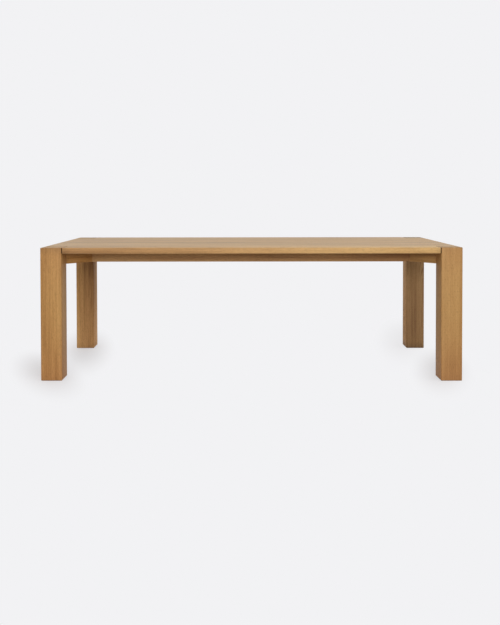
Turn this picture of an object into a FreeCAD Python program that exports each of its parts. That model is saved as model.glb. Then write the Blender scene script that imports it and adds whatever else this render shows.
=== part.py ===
import FreeCAD, Part
import math
import os
import Sketcher

# Parsons dining table: four square posts at the corners, a flush board top notched
# round them, and an inset rail frame under the top.
# Millimetres, +Z up, origin on the floor under the middle of the table.
# X runs along the length, Y along the depth; the front is towards -Y.

doc = FreeCAD.newDocument("parsons_dining_table")
Vector = FreeCAD.Vector
Rotation = FreeCAD.Rotation

# ---------------------------------------------------------------- driving dimensions
SIZES = [
    ("table_length", 2400),
    ("table_depth", 1000),
    ("table_height", 762),
    ("leg_side", 120),
    ("leg_edge_radius", 3),
    ("foot_chamfer", 3),
    ("top_thickness", 34),
    ("top_edge_radius", 2.5),
    ("leg_seam", 4),
    ("shoulder_width", 21),
    ("inner_board_count", 6),
    ("rail_height", 68),
    ("rail_inset", 245),
    ("rail_edge_radius", 2),
    ("long_rail_thickness", 38),
    ("end_rail_thickness", 45),
    ("cross_rail_thickness", 38),
    ("cross_rail_height", 50),
    ("cross_rail_spacing", 540),
    ("block_tip", 5),
    ("tenon_thickness", 22),
    ("tenon_height", 50),
    ("tenon_length", 60),
    ("tenon_clearance", 0.2),
    ("mortise_extra_depth", 2),
    ("bolt_radius", 4),
    ("bolt_length", 95),
    ("bolt_head_radius", 8.5),
    ("bolt_head_thickness", 3),
    ("bolt_chamfer", 1),
    ("bolt_socket_radius", 2.9),
    ("bolt_socket_depth", 2.5),
    ("bolt_clearance", 0.5),
    ("bolt_spread", 18),
    ("thread_clearance", 0.1),
    ("nut_radius", 6),
    ("nut_length", 24),
    ("nut_setback", 38),
    ("nut_slot_width", 1.5),
    ("nut_slot_depth", 2),
    ("fit_clearance", 0.1),
    ("bore_extra_depth", 1),
    ("run_out", 1),
    ("dowel_radius", 5),
    ("dowel_length", 50),
    ("dowel_chamfer", 1),
    ("cross_dowel_spread", 13),
    ("block_screw_radius", 2.5),
    ("block_screw_length", 70),
    ("block_screw_head_radius", 5.5),
    ("block_screw_head_height", 2.5),
    ("block_screw_crown_radius", 3.3),
    ("block_screw_offset", 60),
    ("block_screw_spread", 18),
    ("clip_radius", 9.5),
    ("clip_thickness", 3),
    ("clip_span", 17),
    ("clip_setback", 6),
    ("clip_seat_clearance", 0.5),
    ("end_clip_offset", 60),
    ("small_screw_radius", 2),
    ("small_screw_length", 16),
    ("small_screw_head_radius", 4),
    ("small_screw_head_height", 2),
    ("screw_tip_length", 4),
    ("glide_radius", 15),
    ("glide_thickness", 5),
    ("glide_proud", 2),
    ("glide_chamfer", 1),
    ("glide_screw_recess", 1.5),
]

sheet = doc.addObject("Spreadsheet::Sheet", "dim")
for row, (alias, value) in enumerate(SIZES, start=1):
    sheet.set(f"A{row}", alias)
    sheet.set(f"B{row}", str(value))
    sheet.setAlias(f"B{row}", alias)
doc.recompute()

# ------------------------------------------------------- places worked out from them
TOP_BASE = "(dim.table_height - dim.top_thickness)"
RAIL_BASE = f"({TOP_BASE} - dim.rail_height)"
RAIL_MIDDLE = f"({RAIL_BASE} + dim.rail_height / 2)"
LEG_INNER_X = "(dim.table_length / 2 - dim.leg_side)"
LEG_INNER_Y = "(dim.table_depth / 2 - dim.leg_side)"
END_RAIL_X = f"({LEG_INNER_X} + dim.end_rail_thickness / 2)"
END_RAIL_OUTER_X = f"({LEG_INNER_X} + dim.end_rail_thickness)"
RAIL_FACE_Y = "(dim.table_depth / 2 - dim.rail_inset)"
LONG_RAIL_Y = f"({RAIL_FACE_Y} - dim.long_rail_thickness / 2)"
LONG_RAIL_INNER_Y = f"({RAIL_FACE_Y} - dim.long_rail_thickness)"
LONG_RAIL_LENGTH = f"(2 * {LEG_INNER_X})"
END_RAIL_LENGTH = f"(2 * {LEG_INNER_Y})"
BLOCK_SIDE = "(dim.rail_inset - dim.leg_side)"
NOTCH = "(dim.leg_side + dim.leg_seam)"
OUTER_BOARD = f"({NOTCH} + dim.shoulder_width)"
INNER_BOARD = f"((dim.table_depth - 2 * {OUTER_BOARD}) / dim.inner_board_count)"
LEG_LENGTH = "(dim.table_height - dim.glide_proud)"
DOWEL_HALF = "(dim.dowel_length / 2 + dim.bore_extra_depth)"
DOWEL_BORE = "(dim.dowel_radius + dim.fit_clearance)"
CROSS_RAIL_BASE = f"({TOP_BASE} - dim.cross_rail_height)"
CROSS_RAIL_MIDDLE = f"({CROSS_RAIL_BASE} + dim.cross_rail_height / 2)"
SMALL_BORE = "(dim.small_screw_radius + dim.fit_clearance)"
CLIP_SEAT = "(dim.clip_radius + dim.clip_seat_clearance)"

CROSS_STATIONS = (-1, 0, 1)
# clips lie halfway between cross rails, and halfway from the outer ones to the ends
CLIP_STATIONS = [f"{way} * {place}" for way in (-1, 1)
                 for place in ("dim.cross_rail_spacing / 2",
                               f"(dim.cross_rail_spacing + {LEG_INNER_X}) / 2")]
SIDES = {"left": -1, "right": 1}
ENDS = {"front": -1, "rear": 1}

# each origin plane: the way its normal points along its axis
PLANES = {"XY_Plane": 1, "XZ_Plane": -1, "YZ_Plane": 1}

# two places closer than this are one place
TOUCH = 0.001
# longer than any rail is thick, and shorter than any rail is long
LONG_EDGE = 300

sub_parts = []


# ------------------------------------------------------------------ modelling helpers
def new_body(label):
    body = doc.addObject("PartDesign::Body", label)
    body.Label = label
    return body


def keep(piece):
    """List a finished sub-part; its label becomes the name of its file."""
    sub_parts.append(piece)
    return piece


def place(piece, x="0", y="0", z="0", turn=Rotation()):
    piece.Placement = FreeCAD.Placement(Vector(), turn)
    piece.setExpression("Placement.Base.x", x)
    piece.setExpression("Placement.Base.y", y)
    piece.setExpression("Placement.Base.z", z)


def new_sketch(body, name, role, level):
    """A sketch on one of the body's own origin planes, moved to a level along its axis."""
    sketch = body.newObject("Sketcher::SketchObject", name)
    support = [plane for plane in body.Origin.OriginFeatures if plane.Role == role][0]
    sketch.AttachmentSupport = (support, [""])
    sketch.MapMode = "FlatFace"
    sketch.setExpression("AttachmentOffset.Base.z", f"{PLANES[role]} * ({level})")
    return sketch


def bind(sketch, kind, value, *args):
    """Add a constraint whose size comes from the sheet."""
    index = sketch.addConstraint(Sketcher.Constraint(kind, *args))
    sketch.setExpression(f"Constraints[{index}]", value)


def draw_polygon(sketch, corners):
    """A closed outline; each corner is held from the sketch's origin."""
    count = len(corners)
    start = [Vector(math.cos(2 * math.pi * i / count), math.sin(2 * math.pi * i / count), 0)
             for i in range(count)]
    first = sketch.GeometryCount
    for i in range(count):
        sketch.addGeometry(Part.LineSegment(start[i], start[(i + 1) % count]), False)
    for i in range(count):
        following = first + (i + 1) % count
        sketch.addConstraint(Sketcher.Constraint("Coincident", first + i, 2, following, 1))
    for i, (u, v) in enumerate(corners):
        bind(sketch, "DistanceX", u, -1, 1, first + i, 1, start[i].x)
        bind(sketch, "DistanceY", v, -1, 1, first + i, 1, start[i].y)


def draw_rectangle(sketch, width, height, u="0", v="0"):
    """A rectangle about (u, v)."""
    left = f"{u} - {width} / 2"
    right = f"{u} + {width} / 2"
    low = f"{v} - {height} / 2"
    high = f"{v} + {height} / 2"
    draw_polygon(sketch, [(left, low), (right, low), (right, high), (left, high)])


def draw_circle(sketch, radius, u="0", v="0"):
    circle = sketch.addGeometry(Part.Circle(Vector(1, 1, 0), Vector(0, 0, 1), 1), False)
    bind(sketch, "Radius", radius, circle, 1.0)
    bind(sketch, "DistanceX", u, -1, 1, circle, 3, 1.0)
    bind(sketch, "DistanceY", v, -1, 1, circle, 3, 1.0)


def pad(body, name, sketch, length, reverse=False):
    feature = body.newObject("PartDesign::Pad", name)
    feature.Profile = sketch
    feature.setExpression("Length", length)
    feature.Reversed = reverse
    sketch.Visibility = False
    doc.recompute()
    return feature


def cut(body, name, sketch, depth, reverse):
    """A pocket that must take material away."""
    before = body.Shape.Volume
    feature = body.newObject("PartDesign::Pocket", name)
    feature.Profile = sketch
    feature.setExpression("Length", depth)
    feature.Reversed = reverse
    sketch.Visibility = False
    doc.recompute()
    if body.Shape.Volume >= before:
        raise RuntimeError(f"{body.Label}: {name} cuts nothing")
    return feature


def cut_way(role, way):
    """Whether a pocket is reversed to cut along the axis's + (1) or - (-1) direction."""
    return PLANES[role] * way > 0


def bore(body, name, role, level, way, radius, depth, centres):
    """Round holes drilled from a level, along + (1) or - (-1) of the plane's axis."""
    sketch = new_sketch(body, f"{name}_sketch", role, level)
    for u, v in centres:
        draw_circle(sketch, radius, u, v)
    return cut(body, name, sketch, depth, cut_way(role, way))


def edges_where(feature, wanted):
    """Names of the feature's straight edges that the test picks by their two ends."""
    names = []
    for number, edge in enumerate(feature.Shape.Edges, start=1):
        if len(edge.Vertexes) == 2:
            ends = [vertex.Point for vertex in edge.Vertexes]
            if wanted(*ends):
                names.append(f"Edge{number}")
    return names


def ease(body, name, feature, wanted, size, kind="Fillet"):
    """Round or chamfer the chosen edges of the last feature."""
    dress = body.newObject(f"PartDesign::{kind}", name)
    dress.Base = (feature, edges_where(feature, wanted))
    dress.setExpression("Radius" if kind == "Fillet" else "Size", size)
    doc.recompute()
    return dress


def same(a, b):
    return abs(a - b) < TOUCH


def group(label, master, places):
    """Copies of one fastener as separate solids under one name."""
    copies = []
    for number, spot in enumerate(places, start=1):
        copy = doc.addObject("App::Link", f"{label}_{number}")
        copy.LinkedObject = master
        place(copy, *spot)
        copies.append(copy)
    whole = doc.addObject("Part::Compound", label)
    whole.Label = label
    whole.Links = copies
    return keep(whole)


# ------------------------------------------------------------------------------- legs
def make_leg(end, side):
    way_y = ENDS[end]
    way_x = SIDES[side]
    body = new_body(f"leg_{end}_{side}")
    outline = new_sketch(body, f"leg_outline_{end}_{side}", "XY_Plane", "0")
    draw_rectangle(outline, "dim.leg_side", "dim.leg_side")
    post = pad(body, f"post_{end}_{side}", outline, LEG_LENGTH)
    top = post.Shape.BoundBox.ZMax

    def long_or_top(a, b):
        return not same(a.z, b.z) or same(a.z, top)

    def foot(a, b):
        return same(a.z, 0) and same(b.z, 0)

    eased = ease(body, f"leg_edges_{end}_{side}", post, long_or_top, "dim.leg_edge_radius")
    ease(body, f"foot_edges_{end}_{side}", eased, foot, "dim.foot_chamfer", "Chamfer")

    # mortise for the end rail's tenon, in the face that looks along the table's end
    face = f"{-way_y} * dim.leg_side / 2"
    mortise = new_sketch(body, f"mortise_outline_{end}_{side}", "XZ_Plane", face)
    middle_u = f"{-way_x} * (dim.leg_side - dim.end_rail_thickness) / 2"
    middle_v = f"({RAIL_MIDDLE} - dim.glide_proud)"
    draw_rectangle(mortise, "(dim.tenon_thickness + 2 * dim.tenon_clearance)",
                   "(dim.tenon_height + 2 * dim.tenon_clearance)", middle_u, middle_v)
    cut(body, f"mortise_{end}_{side}", mortise, "dim.tenon_length + dim.mortise_extra_depth",
        cut_way("XZ_Plane", way_y))

    # seat and pilot hole for the glide under the foot
    bore(body, f"glide_seat_{end}_{side}", "XY_Plane", "0", 1,
         "dim.glide_radius + dim.fit_clearance", "dim.glide_thickness - dim.glide_proud",
         [("0", "0")])
    bore(body, f"glide_pilot_{end}_{side}", "XY_Plane", "0", 1, SMALL_BORE,
         "dim.small_screw_length + dim.glide_screw_recess", [("0", "0")])
    place(body, f"{way_x} * (dim.table_length - dim.leg_side) / 2",
          f"{way_y} * (dim.table_depth - dim.leg_side) / 2", "dim.glide_proud")
    keep(body)


# ------------------------------------------------------------------------- table top
def make_outer_board(end):
    """The front or rear board, notched at both ends round the legs."""
    way = ENDS[end]
    body = new_body(f"top_board_{end}")
    outline = new_sketch(body, f"board_outline_{end}", "XY_Plane", "0")
    half = "dim.table_length / 2"
    inner = f"({half} - {NOTCH})"
    glued = f"{-way} * {OUTER_BOARD} / 2"
    shoulder = f"{way} * ({OUTER_BOARD} / 2 - {NOTCH})"
    face = f"{way} * {OUTER_BOARD} / 2"
    draw_polygon(outline, [(f"-{half}", glued), (half, glued), (half, shoulder),
                           (inner, shoulder), (inner, face), (f"-{inner}", face),
                           (f"-{inner}", shoulder), (f"-{half}", shoulder)])
    board = pad(body, f"board_{end}", outline, "dim.top_thickness")
    box = board.Shape.BoundBox
    glue_line = box.YMax if way < 0 else box.YMin
    shoulder_line = sorted({round(v.Point.y, 3) for v in board.Shape.Vertexes})[1]
    reach = box.XMax

    def exposed(a, b):
        glued_edge = same(a.y, glue_line) and same(b.y, glue_line)
        upright = not same(a.z, b.z)
        notch_corner = same(a.y, shoulder_line) and not same(abs(a.x), reach)
        return not glued_edge and not (upright and notch_corner)

    ease(body, f"board_edges_{end}", board, exposed, "dim.top_edge_radius")
    place(body, y=f"{way} * (dim.table_depth - {OUTER_BOARD}) / 2", z=TOP_BASE)
    return body


def make_inner_board(number):
    """A full-length board; number counts from the front, starting at 0."""
    body = new_body(f"top_board_{number + 2}")
    outline = new_sketch(body, f"board_outline_{number + 2}", "XY_Plane", "0")
    draw_rectangle(outline, "dim.table_length", INNER_BOARD)
    board = pad(body, f"board_{number + 2}", outline, "dim.top_thickness")
    reach = board.Shape.BoundBox.XMax

    def end_edge(a, b):
        return same(abs(a.x), reach) and same(a.x, b.x) and same(a.z, b.z)

    ease(body, f"board_edges_{number + 2}", board, end_edge, "dim.top_edge_radius")
    middle = f"{OUTER_BOARD} - dim.table_depth / 2 + ({number} + 0.5) * {INNER_BOARD}"
    place(body, y=middle, z=TOP_BASE)
    return body


def make_top():
    """All the boards, each with the pilot holes of the clip screws above it."""
    boards = [make_outer_board("front")]
    boards += [make_inner_board(number) for number in range(int(sheet.inner_board_count))]
    boards.append(make_outer_board("rear"))
    pilots = []
    for number, (x, y, turn) in enumerate(clip_places(), start=1):
        pilot = doc.addObject("Part::Cylinder", f"board_pilot_{number}")
        pilot.setExpression("Radius", SMALL_BORE)
        pilot.setExpression("Height", "dim.small_screw_length")
        reach = turn.multVec(Vector(0, 1, 0))
        place(pilot, f"{x} + {round(reach.x)} * dim.clip_span",
              f"{y} + {round(reach.y)} * dim.clip_span", TOP_BASE)
        pilots.append(pilot)
    drills = doc.addObject("Part::Compound", "board_pilots")
    drills.Links = pilots
    for body in boards:
        drilled = doc.addObject("Part::Cut", f"{body.Label}_drilled")
        drilled.Base = body
        drilled.Tool = drills
        label = body.Label
        body.Label = f"{label}_blank"
        drilled.Label = label
        keep(drilled)


# ------------------------------------------------------------------------ rail frame
def rail_bottom(a, b):
    """The two long lower edges of a rail."""
    return same(a.z, 0) and same(b.z, 0) and (a - b).Length > LONG_EDGE


def make_end_rail(side):
    way = SIDES[side]
    body = new_body(f"end_rail_{side}")
    outline = new_sketch(body, f"end_rail_outline_{side}", "XY_Plane", "0")
    draw_rectangle(outline, "dim.end_rail_thickness", END_RAIL_LENGTH)
    stock = pad(body, f"end_rail_stock_{side}", outline, "dim.rail_height")
    ease(body, f"end_rail_edges_{side}", stock, rail_bottom, "dim.rail_edge_radius")
    for end, way_y in ENDS.items():
        tenon = new_sketch(body, f"tenon_outline_{side}_{end}", "XZ_Plane",
                           f"{way_y} * {END_RAIL_LENGTH} / 2")
        draw_rectangle(tenon, "dim.tenon_thickness", "dim.tenon_height", "0",
                       "dim.rail_height / 2")
        pad(body, f"tenon_{side}_{end}", tenon, "dim.tenon_length", way_y > 0)

    inner = f"{-way} * dim.end_rail_thickness / 2"
    middle = "dim.rail_height / 2"
    bolts = [(f"{way_y} * {LONG_RAIL_Y}", f"{middle} + {up} * dim.bolt_spread")
             for way_y in ENDS.values() for up in (-1, 1)]
    bore(body, f"bolt_holes_{side}", "YZ_Plane", inner, way,
         "dim.bolt_radius + dim.bolt_clearance", "dim.end_rail_thickness", bolts)
    bore(body, f"dowel_holes_{side}", "YZ_Plane", inner, way, DOWEL_BORE, DOWEL_HALF,
         [(f"{way_y} * {LONG_RAIL_Y}", middle) for way_y in ENDS.values()])
    screws = [(f"{way_y} * ({RAIL_FACE_Y} + dim.block_screw_offset)",
               f"{middle} + {up} * dim.block_screw_spread")
              for way_y in ENDS.values() for up in (-1, 1)]
    bore(body, f"block_screw_holes_{side}", "YZ_Plane", inner, way,
         "dim.block_screw_radius + dim.fit_clearance", "dim.end_rail_thickness", screws)

    seat_x = f"{-way} * (dim.end_rail_thickness / 2 - dim.clip_setback)"
    seats = [(seat_x, f"{way_y} * dim.end_clip_offset") for way_y in ENDS.values()]
    bore(body, f"clip_seats_{side}", "XY_Plane", "dim.rail_height", -1, CLIP_SEAT,
         "dim.clip_thickness", seats)
    bore(body, f"clip_pilots_{side}", "XY_Plane", "dim.rail_height", -1, SMALL_BORE,
         "dim.small_screw_length + dim.bore_extra_depth", seats)
    place(body, f"{way} * {END_RAIL_X}", "0", RAIL_BASE)
    keep(body)


def make_long_rail(end):
    way = ENDS[end]
    body = new_body(f"long_rail_{end}")
    outline = new_sketch(body, f"long_rail_outline_{end}", "XY_Plane", "0")
    draw_rectangle(outline, LONG_RAIL_LENGTH, "dim.long_rail_thickness")
    stock = pad(body, f"long_rail_stock_{end}", outline, "dim.rail_height")
    ease(body, f"long_rail_edges_{end}", stock, rail_bottom, "dim.rail_edge_radius")

    middle = "dim.rail_height / 2"
    reach = f"{LONG_RAIL_LENGTH} / 2"
    for side, way_x in SIDES.items():
        bore(body, f"bolt_bores_{end}_{side}", "YZ_Plane", f"{way_x} * {reach}", -way_x,
             "dim.bolt_radius + dim.bolt_clearance",
             "dim.bolt_length - dim.end_rail_thickness + dim.bore_extra_depth",
             [("0", f"{middle} + {up} * dim.bolt_spread") for up in (-1, 1)])
        bore(body, f"dowel_bore_{end}_{side}", "YZ_Plane", f"{way_x} * {reach}", -way_x,
             DOWEL_BORE, DOWEL_HALF, [("0", middle)])

    inner = f"{-way} * dim.long_rail_thickness / 2"
    nuts = [(f"{way_x} * ({reach} - dim.nut_setback)", f"{middle} + {up} * dim.bolt_spread")
            for way_x in SIDES.values() for up in (-1, 1)]
    bore(body, f"nut_bores_{end}", "XZ_Plane", inner, way,
         "dim.nut_radius + dim.fit_clearance",
         "(dim.long_rail_thickness + dim.nut_length) / 2", nuts)
    screws = [(f"{way_x} * ({reach} - dim.block_screw_offset)",
               f"{middle} + {up} * dim.block_screw_spread")
              for way_x in SIDES.values() for up in (-1, 1)]
    bore(body, f"block_screw_holes_{end}", "XZ_Plane", inner, way,
         "dim.block_screw_radius + dim.fit_clearance", "dim.long_rail_thickness", screws)
    cross = [(f"{station} * dim.cross_rail_spacing",
              f"{CROSS_RAIL_MIDDLE} - {RAIL_BASE} + {up} * dim.cross_dowel_spread")
             for station in CROSS_STATIONS for up in (-1, 1)]
    bore(body, f"cross_dowel_bores_{end}", "XZ_Plane", inner, way, DOWEL_BORE, DOWEL_HALF,
         cross)

    seat_y = f"{-way} * (dim.long_rail_thickness / 2 - dim.clip_setback)"
    seats = [(station, seat_y) for station in CLIP_STATIONS]
    bore(body, f"clip_seats_{end}", "XY_Plane", "dim.rail_height", -1, CLIP_SEAT,
         "dim.clip_thickness", seats)
    bore(body, f"clip_pilots_{end}", "XY_Plane", "dim.rail_height", -1, SMALL_BORE,
         "dim.small_screw_length + dim.bore_extra_depth", seats)
    place(body, "0", f"{way} * {LONG_RAIL_Y}", RAIL_BASE)
    keep(body)


def make_corner_block(end, side):
    """A 45 degree block in the corner between end rail, long rail and leg."""
    way_y = ENDS[end]
    way_x = SIDES[side]
    body = new_body(f"corner_block_{end}_{side}")
    outline = new_sketch(body, f"block_outline_{end}_{side}", "XY_Plane", "0")
    along = f"{-way_x} * {BLOCK_SIDE}"
    out = f"{way_y} * {BLOCK_SIDE}"
    draw_polygon(outline, [("0", "0"), (along, "0"), (along, f"{way_y} * dim.block_tip"),
                           (f"{-way_x} * dim.block_tip", out), ("0", out)])
    stock = pad(body, f"block_stock_{end}_{side}", outline, "dim.rail_height")

    def sloped_foot(a, b):
        low = same(a.z, 0) and same(b.z, 0)
        return low and not same(a.x, b.x) and not same(a.y, b.y)

    ease(body, f"block_edge_{end}_{side}", stock, sloped_foot, "dim.rail_edge_radius")
    middle = "dim.rail_height / 2"
    heights = [f"{middle} + {up} * dim.block_screw_spread" for up in (-1, 1)]
    radius = "dim.block_screw_radius + dim.fit_clearance"
    bore(body, f"side_pilots_{end}_{side}", "YZ_Plane", "0", -way_x, radius,
         "dim.block_screw_length - dim.end_rail_thickness + dim.bore_extra_depth",
         [(f"{way_y} * dim.block_screw_offset", height) for height in heights])
    bore(body, f"back_pilots_{end}_{side}", "XZ_Plane", "0", way_y, radius,
         "dim.block_screw_length - dim.long_rail_thickness + dim.bore_extra_depth",
         [(f"{-way_x} * dim.block_screw_offset", height) for height in heights])
    place(body, f"{way_x} * {LEG_INNER_X}", f"{way_y} * {RAIL_FACE_Y}", RAIL_BASE)
    keep(body)


def make_cross_rail(station, label):
    body = new_body(label)
    outline = new_sketch(body, f"{label}_outline", "XY_Plane", "0")
    length = f"(2 * {LONG_RAIL_INNER_Y})"
    draw_rectangle(outline, "dim.cross_rail_thickness", length)
    stock = pad(body, f"{label}_stock", outline, "dim.cross_rail_height")
    ease(body, f"{label}_edges", stock, rail_bottom, "dim.rail_edge_radius")
    heights = [f"dim.cross_rail_height / 2 + {up} * dim.cross_dowel_spread"
               for up in (-1, 1)]
    for end, way in ENDS.items():
        bore(body, f"{label}_dowel_bores_{end}", "XZ_Plane", f"{way} * {length} / 2", -way,
             DOWEL_BORE, DOWEL_HALF, [("0", height) for height in heights])
    place(body, f"{station} * dim.cross_rail_spacing", "0", CROSS_RAIL_BASE)
    keep(body)


# -------------------------------------------------------------------------- hardware
def turned(label, profile):
    """A round part: the half profile in the XZ plane, spun about Z."""
    body = new_body(label)
    sketch = new_sketch(body, f"{label}_profile", "XZ_Plane", "0")
    draw_polygon(sketch, profile)
    spin = body.newObject("PartDesign::Revolution", f"{label}_spin")
    spin.Profile = sketch
    spin.ReferenceAxis = (sketch, ["V_Axis"])
    spin.Angle = 360
    doc.recompute()
    return body


def make_bolt():
    """Connector bolt: flat head above z = 0, shank below it, hex socket in the head."""
    head = "dim.bolt_head_thickness"
    rim = "dim.bolt_head_radius"
    lip = "dim.bolt_chamfer"
    end = "-dim.bolt_length"
    taper = "dim.bolt_chamfer"
    body = turned("bolt_blank", [("0", end), (f"dim.bolt_radius - {taper}", end),
                                 ("dim.bolt_radius", f"{end} + {taper}"),
                                 ("dim.bolt_radius", "0"), (rim, "0"),
                                 (rim, f"{head} - {lip}"), (f"{rim} - {lip}", head),
                                 ("0", head)])
    socket = new_sketch(body, "bolt_socket_outline", "XY_Plane", head)
    sixth = math.pi / 3
    draw_polygon(socket, [(f"{math.cos(i * sixth):.6f} * dim.bolt_socket_radius",
                           f"{math.sin(i * sixth):.6f} * dim.bolt_socket_radius")
                          for i in range(6)])
    cut(body, "bolt_socket", socket, "dim.bolt_socket_depth", False)
    return body


def make_barrel_nut():
    """Cross dowel along Z, threaded across its middle along X, slotted at one end."""
    body = new_body("barrel_nut_blank")
    outline = new_sketch(body, "nut_outline", "XY_Plane", "-dim.nut_length / 2")
    draw_circle(outline, "dim.nut_radius")
    pad(body, "nut_stock", outline, "dim.nut_length")
    across = "(2 * (dim.nut_radius + dim.run_out))"
    bore(body, "nut_thread", "YZ_Plane", f"-{across} / 2", 1,
         "dim.bolt_radius + dim.thread_clearance", across, [("0", "0")])
    slot = new_sketch(body, "nut_slot_outline", "XY_Plane", "dim.nut_length / 2")
    draw_rectangle(slot, across, "dim.nut_slot_width")
    cut(body, "nut_slot", slot, "dim.nut_slot_depth", False)
    return body


def make_dowel():
    half = "dim.dowel_length / 2"
    return turned("dowel_blank", [
        ("0", f"-{half}"), ("dim.dowel_radius - dim.dowel_chamfer", f"-{half}"),
        ("dim.dowel_radius", f"-{half} + dim.dowel_chamfer"),
        ("dim.dowel_radius", f"{half} - dim.dowel_chamfer"),
        ("dim.dowel_radius - dim.dowel_chamfer", half), ("0", half)])


def make_block_screw():
    """Pan head above z = 0, shank below it."""
    head = "dim.block_screw_head_height"
    rim = "dim.block_screw_head_radius"
    shank = "dim.block_screw_radius"
    return turned("block_screw_blank", [
        ("0", "-dim.block_screw_length"), (shank, "dim.screw_tip_length - dim.block_screw_length"),
        (shank, "0"), (rim, "0"), (rim, f"{head} / 2"), ("dim.block_screw_crown_radius", head),
        ("0", head)])


def make_small_screw():
    """Countersunk head flush with z = 0, the rest below it."""
    shank = "dim.small_screw_radius"
    return turned("small_screw_blank", [
        ("0", "-dim.small_screw_length"), (shank, "dim.screw_tip_length - dim.small_screw_length"),
        (shank, "-dim.small_screw_head_height"), ("dim.small_screw_head_radius", "0"), ("0", "0")])


def make_clip():
    """Figure-eight table clip: one lobe on the origin, the other along +Y."""
    body = new_body("clip_blank")
    for name, middle in (("rail_lobe", "0"), ("top_lobe", "dim.clip_span")):
        outline = new_sketch(body, f"{name}_outline", "XY_Plane", "0")
        draw_circle(outline, "dim.clip_radius", "0", middle)
        pad(body, name, outline, "dim.clip_thickness")
    bore(body, "clip_holes", "XY_Plane", "0", 1, SMALL_BORE, "dim.clip_thickness",
         [("0", "0"), ("0", "dim.clip_span")])
    seats = []
    for name, turn, y, z in (("rail_sink", 180, "0", "dim.clip_thickness"),
                             ("top_sink", 0, "dim.clip_span", "0")):
        sink = doc.addObject("Part::Cone", name)
        sink.setExpression("Radius1", "dim.small_screw_head_radius + dim.fit_clearance")
        sink.setExpression("Radius2", SMALL_BORE)
        sink.setExpression("Height", "dim.small_screw_head_height")
        place(sink, "0", y, z, Rotation(Vector(1, 0, 0), turn))
        seats.append(sink)
    sinks = doc.addObject("Part::Compound", "clip_sinks")
    sinks.Links = seats
    clip = doc.addObject("Part::Cut", "clip_sunk")
    clip.Base = body
    clip.Tool = sinks
    doc.recompute()
    return clip


def make_glide():
    """Nylon foot disc from z = 0 up, with a stepped and sunk hole for its screw."""
    rim = "dim.glide_radius"
    top = "dim.glide_thickness"
    well = "(dim.small_screw_head_radius + dim.fit_clearance)"
    step = "dim.glide_screw_recess"
    return turned("glide_blank", [
        (well, "0"), (f"{rim} - dim.glide_chamfer", "0"), (rim, "dim.glide_chamfer"),
        (rim, top), (SMALL_BORE, top), (SMALL_BORE, f"{step} + dim.small_screw_head_height"),
        (well, step)])


def clip_places():
    """Where each clip's rail lobe lies, and how the clip is turned to reach inwards."""
    places = []
    for way in ENDS.values():
        turn = Rotation(Vector(0, 0, 1), 0 if way < 0 else 180)
        y = f"{way} * ({LONG_RAIL_INNER_Y} + dim.clip_setback)"
        places += [(station, y, turn) for station in CLIP_STATIONS]
    for way in SIDES.values():
        turn = Rotation(Vector(0, 0, 1), 90 * way)
        x = f"{way} * ({LEG_INNER_X} + dim.clip_setback)"
        places += [(x, f"{way_y} * dim.end_clip_offset", turn) for way_y in ENDS.values()]
    return places


def place_rail_fasteners():
    bolt_spots = []
    nut_spots = []
    dowel_spots = []
    for way_y in ENDS.values():
        y = f"{way_y} * {LONG_RAIL_Y}"
        along_y = Rotation(Vector(1, 0, 0), 90 * way_y)
        for way_x in SIDES.values():
            outward = Rotation(Vector(0, 1, 0), 90 * way_x)
            dowel_spots.append((f"{way_x} * {LEG_INNER_X}", y, RAIL_MIDDLE, outward))
            for up in (-1, 1):
                z = f"{RAIL_MIDDLE} + {up} * dim.bolt_spread"
                bolt_spots.append((f"{way_x} * {END_RAIL_OUTER_X}", y, z, outward))
                nut_spots.append((f"{way_x} * ({LEG_INNER_X} - dim.nut_setback)", y, z,
                                  along_y))
    group("rail_bolts", make_bolt(), bolt_spots)
    group("barrel_nuts", make_barrel_nut(), nut_spots)
    dowel = make_dowel()
    group("rail_dowels", dowel, dowel_spots)

    cross_spots = []
    for station in CROSS_STATIONS:
        for way_y in ENDS.values():
            for up in (-1, 1):
                cross_spots.append((f"{station} * dim.cross_rail_spacing",
                                    f"{way_y} * {LONG_RAIL_INNER_Y}",
                                    f"{CROSS_RAIL_MIDDLE} + {up} * dim.cross_dowel_spread",
                                    Rotation(Vector(1, 0, 0), 90)))
    group("cross_rail_dowels", dowel, cross_spots)


def place_block_screws():
    spots = []
    for way_y in ENDS.values():
        for way_x in SIDES.values():
            for up in (-1, 1):
                z = f"{RAIL_MIDDLE} + {up} * dim.block_screw_spread"
                spots.append((f"{way_x} * {END_RAIL_OUTER_X}",
                              f"{way_y} * ({RAIL_FACE_Y} + dim.block_screw_offset)", z,
                              Rotation(Vector(0, 1, 0), 90 * way_x)))
                spots.append((f"{way_x} * ({LEG_INNER_X} - dim.block_screw_offset)",
                              f"{way_y} * {LONG_RAIL_INNER_Y}", z,
                              Rotation(Vector(1, 0, 0), 90 * way_y)))
    group("corner_block_screws", make_block_screw(), spots)


def place_clips(screw):
    clip_spots = []
    screw_spots = []
    upside_down = Rotation(Vector(1, 0, 0), 180)
    for x, y, turn in clip_places():
        reach = turn.multVec(Vector(0, 1, 0))
        clip_spots.append((x, y, f"{TOP_BASE} - dim.clip_thickness", turn))
        screw_spots.append((x, y, TOP_BASE, Rotation()))
        screw_spots.append((f"{x} + {round(reach.x)} * dim.clip_span",
                            f"{y} + {round(reach.y)} * dim.clip_span",
                            f"{TOP_BASE} - dim.clip_thickness", upside_down))
    group("top_clips", make_clip(), clip_spots)
    group("clip_screws", screw, screw_spots)


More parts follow.
